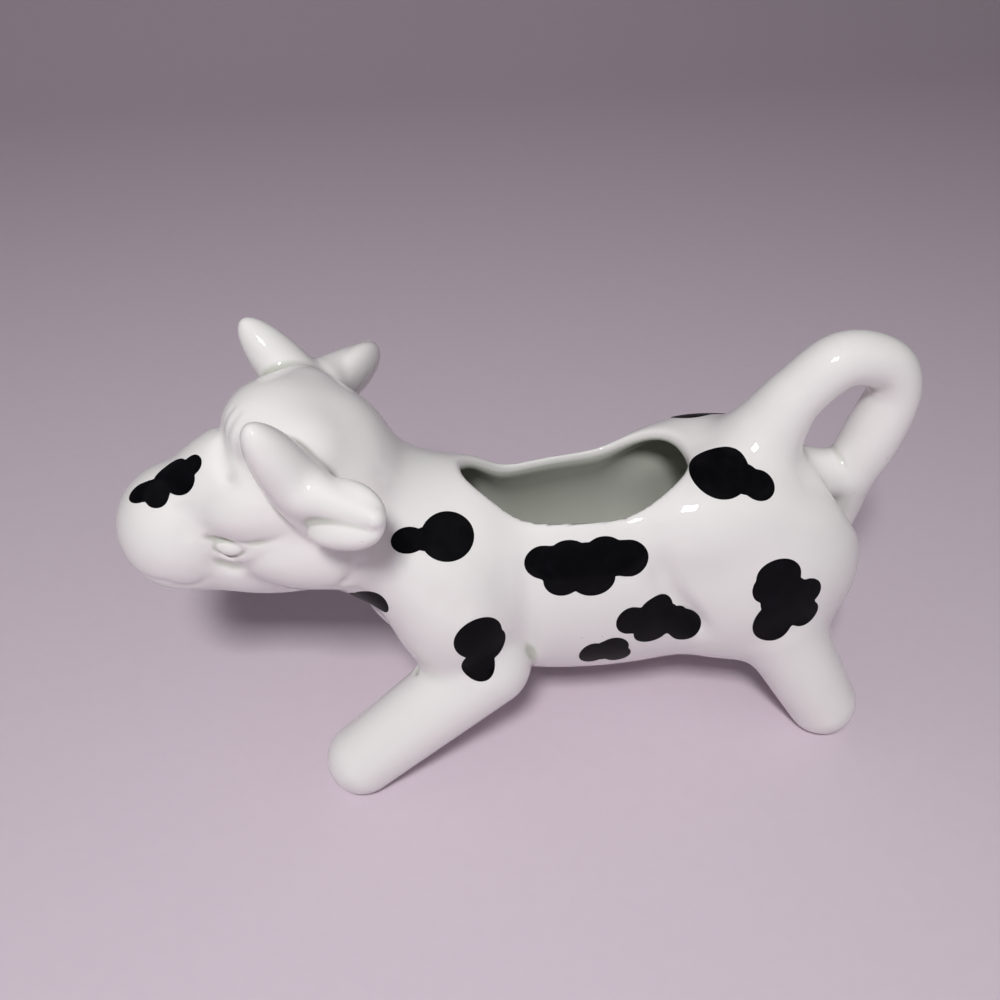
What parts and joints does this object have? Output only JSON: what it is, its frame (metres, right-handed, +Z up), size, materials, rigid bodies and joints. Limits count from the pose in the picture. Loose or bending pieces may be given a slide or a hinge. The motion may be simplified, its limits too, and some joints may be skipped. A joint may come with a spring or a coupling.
{
  "type": "cow creamer",
  "caption": "White porcelain creamer shaped as a walking cow with black spots: fills through its back, pours from its mouth, and its looped tail is the handle.",
  "frame": {"origin": "on the ground under the middle of the bounding box, feet standing on Z = 0", "axes": "-X towards the muzzle, +X towards the tail, +Z up, +Y towards the cow's right side"},
  "size_m": [0.1778, 0.069, 0.1018],
  "materials": {
    "white_glaze": "gloss",
    "black_transfer": "gloss"
  },
  "bodies": {
    "root": {"body": "white_glaze", "head": "white_glaze", "leg_front_left": "white_glaze", "leg_hind_left": "white_glaze", "leg_front_right": "white_glaze", "leg_hind_right": "white_glaze", "tail_handle": "white_glaze", "horn_left": "white_glaze", "horn_right": "white_glaze", "ear_left": "white_glaze", "ear_right": "white_glaze", "spot_muzzle": "black_transfer", "spot_neck_left": "black_transfer", "spot_throat": "black_transfer", "spot_shoulder_left": "black_transfer", "spot_flank_left": "black_transfer", "spot_belly_left": "black_transfer", "spot_underbelly_left": "black_transfer", "spot_croup_left": "black_transfer", "spot_haunch_left": "black_transfer", "spot_croup_right": "black_transfer", "spot_neck_right": "black_transfer", "spot_shoulder_right": "black_transfer", "spot_flank_right": "black_transfer", "spot_belly_right": "black_transfer", "spot_haunch_right": "black_transfer", "spot_cheek_right": "black_transfer"}
  },
  "joints": []
}
